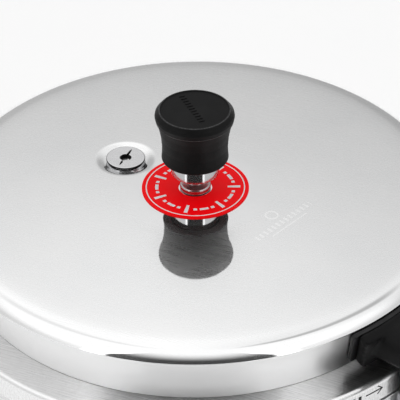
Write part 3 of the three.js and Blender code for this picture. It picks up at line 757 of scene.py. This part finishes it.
# ---- Weight -----------------------------------------------------------------------------
weight = lathe("weight_core", fillet([
    (0, z + 17), (5.6, z + 17, 0.4), (5.6, z + 9.6, 0.3), (6.8, z + 8.3, 0.3), (9.8, z + 8.3, 0.3),
    (10.3, z + 8.9, 0.3), (10.3, z + 29.5, 0.6), (0, z + 29.5),
], 5), steel_weight, 128)
piece(weight, "weight", "stainless_steel", "weight_body")
needle = lathe("weight_pin", fillet([
    (0, z + 10.8), (0.5, z + 12, 0.2), (1.1, z + 13.5, 0.3), (1.1, z + 15.8, 0.1), (1.8, z + 16, 0.1),
    (1.8, z + 22.5, 0.2), (0, z + 22.5),
], 4), steel_small, 40)
piece(needle, "weight", "stainless_steel", "weight_needle")


def build_clip():
    """Sprung wire ring, open on one side."""
    low, high = height_of("weight_clip")
    mid = (low + high) / 2
    ring_r, wire_wide, wire_tall, around = 4.55, 0.58, 0.78, 12
    steps, open_ = 60, math.radians(13)
    bm = bmesh.new()
    rows = []
    for k in range(steps + 1):
        a = open_ + (2 * math.pi - 2 * open_) * k / steps
        row = []
        for j in range(around):
            b = 2 * math.pi * j / around
            r = ring_r + wire_wide * math.cos(b)
            height = mid + wire_tall * math.sin(b)
            row.append(bm.verts.new((r * math.cos(a) * MM, r * math.sin(a) * MM, height * MM)))
        rows.append(row)
    for a, b in zip(rows, rows[1:]):
        for j in range(around):
            n = (j + 1) % around
            bm.faces.new((a[j], a[n], b[n], b[j]))
    bm.faces.new(rows[0])
    bm.faces.new(rows[-1][::-1])
    return add_object("clip_ring", bm, steel_small, 50)


piece(build_clip(), "clip", "stainless_steel", "weight_clip")

# The knob's outline, from its socket over the steel up to the sunk face on top.
CAP = [
    (0, z + 29.85), (10.65, z + 29.85, 0.4), (10.65, z + 16, 0.4), (14.25, z + 16, 0.55), (14.0, z + 18.6, 3),
    (13.9, z + 22.0, 6), (14.3, z + 27.0, 8), (15.1, z + 31.2, 6), (15.9, z + 34.3, 0.4),
    (16.35, z + 34.75, 0.25), (16.8, z + 36.9, 0.7), (16.6, z + 38.0, 0.5), (15.1, z + 39.82, 0.2),
    (14.75, z + 39.9, 0.1), (14.45, z + 39.85, 0.1), (14.2, z + 39.5, 0.15), (0, z + 39.5),
]
cap = lathe("knob_cap", fillet(CAP, 7), black_knob, 160, sharp=50)
RIB_SIZE, RIB_TURN, RIB_PITCH = (2.6, 0.62, 0.5), math.radians(23), 2.05


def rib(cx, cy):
    bm = bmesh.new()
    bmesh.ops.create_cube(bm, size=1.0)
    matrix = Matrix.Translation(Vector((cx, cy, z + 39.5)) * MM) @ Matrix.Rotation(RIB_TURN, 4, "Z")
    bm.transform(matrix @ Matrix.Diagonal([v * MM for v in RIB_SIZE] + [1]))
    bmesh.ops.bevel(bm, geom=bm.edges[:], offset=0.12 * MM, segments=2, affect="EDGES")
    return add_object("rib", bm, black_knob, 40)


# Plain grip ribs across the knob's flat top, in place of moulded wording.
ribs = []
for k in range(11):
    t = (k - 5) * RIB_PITCH
    ribs.append(rib(-1.2 + t * 0.40, 1.0 - t * 0.92))
piece(shade(join([cap] + ribs, "knob_cap"), 50), "weight", "black_bakelite", "weight_cap")

# ---- Sealing ring ----------------------------------------------------------------------
s0, s1 = height_of("sealing_ring")
ring = lathe("seal_ring", fillet([
    (90, s0 + 0.3), (91, s0 + 0.7, 0.5), (95, s0, 0.4), (102.2, s0, 0.9), (103.4, s0 + 3, 1.0),
    (103.2, s1 - 2.6, 1.2), (100.5, s1 - 0.6, 1.4), (92.6, s1, 1.2), (88.6, s1 - 1.5, 0.7),
    (91.6, s0 + 4.2, 1.0), (88.6, s0 + 1.7, 0.6), (89.4, s0 + 0.05, 0.4),
], 5), rubber, 220, closed=True, sharp=60)
piece(ring, "seal", "grey_rubber", "sealing_ring")


# ---- Curved bracket plates and root plates ----------------------------------------------
def curved_plate(name, radius_at, off, thick, halves, z0, z1, material, edge=0.6, corner=1.4):
    """A plate lying on a round wall. Along X its outline is a rounded trapezoid: half widths low and high."""
    nu, nv = 44, 26
    bm = bmesh.new()
    grid = []
    for j in range(nv + 1):
        row = []
        v = j / nv
        zz = z0 + (z1 - z0) * v
        half = halves[0] + (halves[1] - halves[0]) * v
        near_corner = max(0, 1 - min(v, 1 - v) * (z1 - z0) / corner)
        inset = corner * (1 - math.sqrt(max(0, 1 - near_corner ** 2)))
        for i in range(nu + 1):
            y = (half - inset) * (2 * i / nu - 1)
            r = radius_at(zz) + off
            row.append(bm.verts.new((math.sqrt(r * r - y * y) * MM, y * MM, zz * MM)))
        grid.append(row)
    for a, b in zip(grid, grid[1:]):
        for i in range(nu):
            bm.faces.new((a[i], a[i + 1], b[i + 1], b[i]))
    bmesh.ops.recalc_face_normals(bm, faces=bm.faces)
    if sum(f.normal.x for f in bm.faces) <= 0:
        bmesh.ops.reverse_faces(bm, faces=bm.faces)
    mesh = bpy.data.meshes.new(name)
    bm.to_mesh(mesh)
    bm.free()
    obj = bpy.data.objects.new(name, mesh)
    bpy.context.collection.objects.link(obj)
    mesh.materials.append(material)
    solid = obj.modifiers.new("solid", "SOLIDIFY")
    solid.thickness = thick * MM
    solid.offset = 1
    bevel = obj.modifiers.new("bevel", "BEVEL")
    bevel.width = edge * MM
    bevel.segments = 3
    bevel.angle_limit = math.radians(50)
    apply_modifiers(obj)
    return shade(obj, 40)


def lid_wall(zz):
    return skirt_r(RIM_Z - zz)


def pot_wall(_):
    return POT_R


def slab_box(name, x0, x1, half, z0, z1, material, round_=0.5):
    bm = bmesh.new()
    bmesh.ops.create_cube(bm, size=1.0)
    bm.transform(Matrix.Translation(Vector(((x0 + x1) / 2, 0, (z0 + z1) / 2)) * MM)
                 @ Matrix.Diagonal(((x1 - x0) * MM, 2 * half * MM, (z1 - z0) * MM, 1)))
    bmesh.ops.bevel(bm, geom=bm.edges[:], offset=round_ * MM, segments=2, affect="EDGES")
    return add_object(name, bm, material, 40)


LID_TAB = RIM_Z - 11
BODY_TAB = SHOULDER - 14.5
plate = curved_plate(
    "lid_bracket_plate", lid_wall, GAP, PLATE_T, (20.7, 25.5), RIM_Z - 19.2, RIM_Z - 0.9, black_paint)
tab = slab_box("tab", RIM_R - 2, RIM_R + 32, 8, LID_TAB, LID_TAB + 3, black_paint)
bracket = turn_about_z(shade(join([plate, tab], "lid_bracket_strap")), LID_AZ)
piece(bracket, "lid", "black_painted_steel", "lid_handle_bracket")

for side, azimuth, half in (("body", BODY_AZ, 33), ("helper", HELPER_AZ, 25)):
    plate = curved_plate(
        "plate", pot_wall, GAP, PLATE_T, (half, half), SHOULDER - 30, SHOULDER - 13.5, steel_sheet, corner=2)
    tab = slab_box("tab", POT_R + 1, POT_R + 28, 11, BODY_TAB - 3, BODY_TAB, steel_sheet)
    bracket = turn_about_z(shade(join([plate, tab], side + "_bracket_strap")), azimuth)
    piece(bracket, "pot", "stainless_steel", side + "_handle_bracket")


# ---- Handles ---------------------------------------------------------------------------------
def eased(table, x):
    for (x0, v0), (x1, v1) in zip(table, table[1:]):
        if x <= x1:
            t = max(0.0, (x - x0) / (x1 - x0))
            t = t * t * (3 - 2 * t)
            return v0 + (v1 - v0) * t
    return table[-1][1]


def grip_body(x0, x1, z0, z1, halves):
    """Loft a grip from squared-off ovals, with half widths along X; the far end closes in a soft round."""
    stations, around, power, end_length = 90, 56, 3.2, 15
    mid, tall = (z1 + z0) / 2, (z1 - z0) / 2
    bm = bmesh.new()
    rows = []
    for i in range(stations + 1):
        t = i / stations
        x = x0 + (x1 - x0) * t
        half = eased(halves, x)
        end = max(0.0, (x - (x1 - end_length)) / end_length)
        shrink = math.sqrt(max(0.0, 1 - end ** 2.6)) if end < 1 else 0
        if shrink < 1e-3:
            rows.append([bm.verts.new((x * MM, 0, mid * MM))])
            continue
        row = []
        for k in range(around):
            a = 2 * math.pi * k / around
            c, s = math.cos(a), math.sin(a)
            y = half * shrink * math.copysign(abs(c) ** (2 / power), c)
            h = tall * (0.35 + 0.65 * shrink) * math.copysign(abs(s) ** (2 / power), s)
            row.append(bm.verts.new((x * MM, y * MM, (mid + h) * MM)))
        rows.append(row)
    for a, b in zip(rows, rows[1:]):
        for k in range(around):
            n = (k + 1) % around
            quad = []
            for vert in (a[k % len(a)], a[n % len(a)], b[n % len(b)], b[k % len(b)]):
                if vert not in quad:
                    quad.append(vert)
            bm.faces.new(quad)
    bm.faces.new(rows[0][::-1])
    return add_object("grip", bm, black_handle, 60)


def fused(parts, name, voxel=0.8, rounds=5):
    """Melt overlapping mouldings into one skin, with soft fillets where they meet."""
    obj = join(parts, name)
    remesh = obj.modifiers.new("remesh", "REMESH")
    remesh.mode = "VOXEL"
    remesh.voxel_size = voxel * MM * 1
    smooth = obj.modifiers.new("smooth", "SMOOTH")
    smooth.iterations = rounds
    smooth.factor = 0.5
    apply_modifiers(obj)
    return shade(obj, 75)


# A handle's root starts past its bracket plate.
near = GAP + PLATE_T + GAP
halves = [(RIM_R - 6, 18), (RIM_R + 60, 13.5), (RIM_R + 75, 13.5), (RIM_R + 153, 16), (RIM_R + 168, 16)]
grip = grip_body(RIM_R - 4, RIM_R + 167.6, RIM_Z - 17.5, RIM_Z - 1.5, halves)
root = curved_plate(
    "root", lid_wall, near, 5, (19.2, 24.0), RIM_Z - 19.1, RIM_Z - 0.9, black_handle, edge=1.2)
cone = lathe("cone", [
    (0, SKIRT_LOW - 3), (skirt_r(SKIRT_DROP + 3) + near, SKIRT_LOW - 3), (skirt_r(-5) + near, RIM_Z + 5),
    (0, RIM_Z + 5),
], black_handle, 256)
handle = cut(fused([grip, root], "lid_long_handle"), cone)
piece(turn_about_z(shade(handle, 50), LID_AZ), "lid", "black_bakelite", "lid_handle")


def pot_handle(name, length, halves, root_halves):
    """A handle on the pot: a grip melted into its curved root, with the wall's room cut out of it."""
    top = RIM_Z - 21
    grip = grip_body(POT_R - 3, POT_R + length, SHOULDER - 21, top, halves)
    root = curved_plate(
        "root", pot_wall, near, 5.4, root_halves, SHOULDER - 32.8, top - 0.1, black_handle, 1.4, corner=3)
    wall = lathe("wall", [(0, 60), (POT_R + near, 60), (POT_R + near, 160), (0, 160)], black_handle, 256)
    return shade(cut(fused([grip, root], name), wall), 50)


halves = [(POT_R - 4, 22), (POT_R + 60, 14.5), (POT_R + 78, 14.5), (POT_R + 156, 17), (POT_R + 172, 17)]
handle = pot_handle("body_long_handle", 171.6, halves, (32.2, 34.9))
piece(turn_about_z(handle, BODY_AZ), "pot", "black_bakelite", "body_handle")

halves = [(POT_R - 4, 26.6), (POT_R + 20, 25.4), (POT_R + 36, 24)]
handle = pot_handle("helper_grip", 35.6, halves, (24.2, 26.9))
piece(turn_about_z(handle, HELPER_AZ), "pot", "black_bakelite", "helper_handle")


# ---- Screws and rivets --------------------------------------------------------------------------
def screw(name, x, head, tip, azimuth, body, node):
    """A cross-head screw driven up from below: head and tip are heights."""
    obj = lathe(name, fillet([
        (0, head), (3.0, head + 0.15, 1.2), (3.8, head + 1.2, 0.6), (3.8, head + 2.2, 0.2),
        (2.0, head + 2.2, 0.1), (2.0, tip - 0.8, 0.2), (1.3, tip, 0.1), (0, tip),
    ], 5), steel_small, 48)
    for turn in (0, math.pi / 2):
        bar = slab_box("recess", -2.1, 2.1, 0.42, head - 1, head + 1.1, steel_small, 0.1)
        bar.data.transform(Matrix.Rotation(turn, 4, "Z"))
        cut(obj, bar)
    shade(obj, 35)
    piece(turn_about_z(obj, azimuth, (x, 0, 0)), body, "stainless_steel", node)


def rivet(name, azimuth, body, node):
    """A rivet with a domed head at each end, lying along the handle it belongs to."""
    low, high = local_box(node, azimuth)
    length = high.x - low.x
    obj = lathe(name, fillet([
        (0, 0), (3.0, 0.02, 1.0), (3.8, 0.9, 0.5), (3.8, 1.2, 0.1), (2.0, 1.2, 0.1), (2.0, length - 1.2, 0.1),
        (3.8, length - 1.2, 0.1), (3.8, length - 0.9, 0.5), (3.0, length - 0.02, 1.0), (0, length),
    ], 5), steel_small, 48)
    along_x(obj, low.x, (low.y + high.y) / 2, (low.z + high.z) / 2)
    piece(turn_about_z(obj, azimuth), body, "stainless_steel", node)


LID_SCREW_X, BODY_SCREW_X = RIM_R + 24, POT_R + 20
screw("lid_pan_screw", LID_SCREW_X, RIM_Z - 16.5, LID_TAB + 5, LID_AZ, "lid", "lid_handle_screw")
screw("body_pan_screw", BODY_SCREW_X, SHOULDER - 20, BODY_TAB + 2, BODY_AZ, "pot", "body_handle_screw")
screw("helper_pan_screw", BODY_SCREW_X, SHOULDER - 20, BODY_TAB + 2, HELPER_AZ, "pot", "helper_handle_screw")


def local_box(node, azimuth):
    """A node's box once it is turned back from its handle's bearing."""
    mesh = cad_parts[node].data
    turn = Matrix.Rotation(-azimuth, 4, "Z")
    points = [turn @ v.co / MM for v in mesh.vertices]
    low = Vector([min(p[i] for p in points) for i in range(3)])
    high = Vector([max(p[i] for p in points) for i in range(3)])
    return low, high


for prefix, azimuth, body in (("lid", LID_AZ, "lid"), ("body", BODY_AZ, "pot"), ("helper", HELPER_AZ, "pot")):
    for end in ("left", "right"):
        rivet(f"{prefix}_rivet_{end}", azimuth, body, f"{prefix}_bracket_rivet_{end}")


# ---- Printed arrow on the pot's collar ---------------------------------------------------------------
def build_arrow():
    """Plain arrow after four short strokes, in thin ink; distances run round the collar in mm."""
    ink = Nodes("pad_ink", (0.02, 0.02, 0.02), 0.5)
    worn = ink.noise(ink.coords, 1500.0, 3.0)
    ink.to(ink.ramp(worn, [(0.35, (0.015, 0.015, 0.016)), (0.8, (0.07, 0.07, 0.07))]), "Base Color")
    ink_t = 0.04
    collar, mid, start = POT_R - 0.8 + ink_t, SHOULDER - 4.3, math.radians(-54.6)
    bm = bmesh.new()

    def patch(outline):
        corners = []
        for along, height in outline:
            a = start + along / collar
            place = (collar * math.cos(a), collar * math.sin(a), mid + height)
            corners.append(bm.verts.new(Vector(place) * MM))
        bm.faces.new(corners)

    def bar(along, length, half):
        patch([(along, -half), (along + length, -half), (along + length, half), (along, half)])

    for k in range(8):
        bar(k * 1.05, 1.05, 0.28)
    for k in range(4):
        bar(-13.2 + k * 3.1, 1.5, 1.1)
    for sign in (1, -1):
        patch([(9.0, 0), (6.2, sign * 2.3), (5.9, sign * 1.9), (8.2, 0)])
    arrow = add_object("arrow_print", bm, ink.material)
    solid = arrow.modifiers.new("solid", "SOLIDIFY")
    solid.thickness = ink_t * MM
    solid.offset = 0
    apply_modifiers(arrow)
    return arrow


piece(build_arrow(), "pot", "black_painted_steel")


# ---- Floor, light and camera ---------------------------------------------------------------------------
FLOOR_GLOW = 0.195


def build_floor():
    n = Nodes("paper_white", (0.93, 0.93, 0.93), 0.9)
    cloud = n.noise(n.coords, 2.0, 2.0)
    n.to(n.ramp(cloud, [(0.2, (0.92, 0.92, 0.92)), (0.8, (0.94, 0.94, 0.94))]), "Base Color")
    n.shader.inputs["Emission Color"].default_value = (1, 1, 1, 1)
    n.shader.inputs["Emission Strength"].default_value = FLOOR_GLOW
    bm = bmesh.new()
    bmesh.ops.create_grid(bm, x_segments=12, y_segments=12, size=3.0)
    floor = add_object("floor", bm, n.material)
    floor.location.z = -0.0002


build_floor()


# Brightness of the room: wall low down and its gain with height, then what each feature adds or takes.
WALL_LOW, WALL_GAIN, RIGHT_LOSS = 0.49, 0.62, 0.15
STRIP_GAIN, FRONT_GAIN, DARK_LOSS, UNDERSIDE = 1.1, 0.22, 0.955, 0.85
SEAMS = ((1, 0.5), (-1, 0.2))
# Degrees the dark side is turned from straight behind the camera.
DARK_BEARING = 2.5


def build_world():
    """A white studio: pale wall behind, bright above, dark room behind the camera between two softboxes."""
    world = bpy.data.worlds.new("studio")
    bpy.context.scene.world = world
    world.use_nodes = True
    tree = world.node_tree
    background = tree.nodes["Background"]
    background.inputs["Color"].default_value = (1, 1, 1, 1)

    def new(kind, **settings):
        node = tree.nodes.new(kind)
        for key, value in settings.items():
            setattr(node, key, value)
        return node

    def do(operation, *values):
        node = new("ShaderNodeMath", operation=operation)
        for index, value in enumerate(values):
            if isinstance(value, (int, float)):
                node.inputs[index].default_value = value
            else:
                tree.links.new(value, node.inputs[index])
        return node.outputs[0]

    def step(value, low, high):
        node = new("ShaderNodeMapRange", interpolation_type="SMOOTHSTEP")
        node.inputs["From Min"].default_value = low
        node.inputs["From Max"].default_value = high
        tree.links.new(value, node.inputs["Value"])
        return node.outputs["Result"]

    split = new("ShaderNodeSeparateXYZ")
    tree.links.new(new("ShaderNodeTexCoord").outputs["Generated"], split.inputs[0])
    x, y, up = split.outputs
    degrees = 180 / math.pi
    elevation = do("MULTIPLY", do("ARCSINE", up), degrees)
    azimuth = do("MULTIPLY", do("ARCTAN2", x, do("MULTIPLY", y, -1)), degrees)
    away = do("ABSOLUTE", do("ADD", azimuth, DARK_BEARING))
    # Wall behind, brightening with height and a little dimmer to the right.
    base = do("ADD", WALL_LOW, do("MULTIPLY", step(elevation, 22, 50), WALL_GAIN))
    dimmer = do("MULTIPLY", do("MULTIPLY", step(x, -0.03, 0.17), step(y, 0.0, 0.3)), RIGHT_LOSS)
    base = do("MULTIPLY", base, do("SUBTRACT", 1, dimmer))
    # The camera's side: dark between two bright strips, paler beyond them.
    low_down = do("SUBTRACT", 1, step(elevation, 46, 80))
    dark = do("MULTIPLY", do("SUBTRACT", 1, step(away, 36, 39.5)), low_down)
    strip = do("MULTIPLY", step(away, 37, 39.5), do("SUBTRACT", 1, step(away, 45, 50)))
    strip = do("MULTIPLY", strip, do("SUBTRACT", 1, step(elevation, 62, 74)))
    front = do("MULTIPLY", do("SUBTRACT", 1, step(away, 90, 125)), do("SUBTRACT", 1, step(elevation, 20, 60)))
    lit = do("ADD", do("ADD", base, do("MULTIPLY", strip, STRIP_GAIN)), do("MULTIPLY", front, FRONT_GAIN))
    # Edges of the two light panels behind; the right one shows more.
    for sign, depth in SEAMS:
        bearing = do("MULTIPLY", azimuth, sign)
        seam = do("MULTIPLY", step(bearing, 116, 130), do("SUBTRACT", 1, step(bearing, 136, 152)))
        seam_high = do("MULTIPLY", step(elevation, 44, 54), do("SUBTRACT", 1, step(elevation, 72, 84)))
        seam = do("MULTIPLY", seam, seam_high)
        lit = do("MULTIPLY", lit, do("SUBTRACT", 1, do("MULTIPLY", seam, depth)))
    kept = do("SUBTRACT", 1, do("MULTIPLY", dark, DARK_LOSS))
    value = do("MULTIPLY", lit, kept)
    above = step(elevation, -8, -2)
    value = do("ADD", do("MULTIPLY", value, above), do("MULTIPLY", do("SUBTRACT", 1, above), UNDERSIDE))
    tree.links.new(value, background.inputs["Strength"])


build_world()

# Camera fitted to the lid's rim, the skirt's edge and the label; the slides (mm) aim it off the rim's centre.
FRAME_PX, SENSOR = 400, 36
FOCAL_PX, ELEVATION, ROLL = 2150.0, math.radians(35.745), math.radians(-0.453)
DISTANCE, SLIDE_X, SLIDE_Y = 921.69, -1.933, 0.518


def build_camera():
    """Camera on the -Y side looking along +Y and down, rolled slightly."""
    forward = Vector((0, math.cos(ELEVATION), -math.sin(ELEVATION)))
    right = Vector((1, 0, 0))
    up = right.cross(forward)
    side = math.cos(ROLL) * right + math.sin(ROLL) * up
    top = -math.sin(ROLL) * right + math.cos(ROLL) * up
    data = bpy.data.cameras.new("camera")
    data.sensor_width = SENSOR
    data.lens = FOCAL_PX / FRAME_PX * SENSOR
    data.dof.use_dof = False
    data.clip_end = 20
    camera = bpy.data.objects.new("camera", data)
    bpy.context.collection.objects.link(camera)
    rotation = Matrix((side, top, -forward)).transposed()
    place = Vector((0, 0, RIM_Z)) - DISTANCE * forward - SLIDE_X * side - SLIDE_Y * top
    camera.matrix_world = Matrix.Translation(place * MM) @ rotation.to_4x4()
    bpy.context.scene.camera = camera


build_camera()
scene = bpy.context.scene
scene.view_settings.view_transform = "Standard"
scene.view_settings.look = "None"
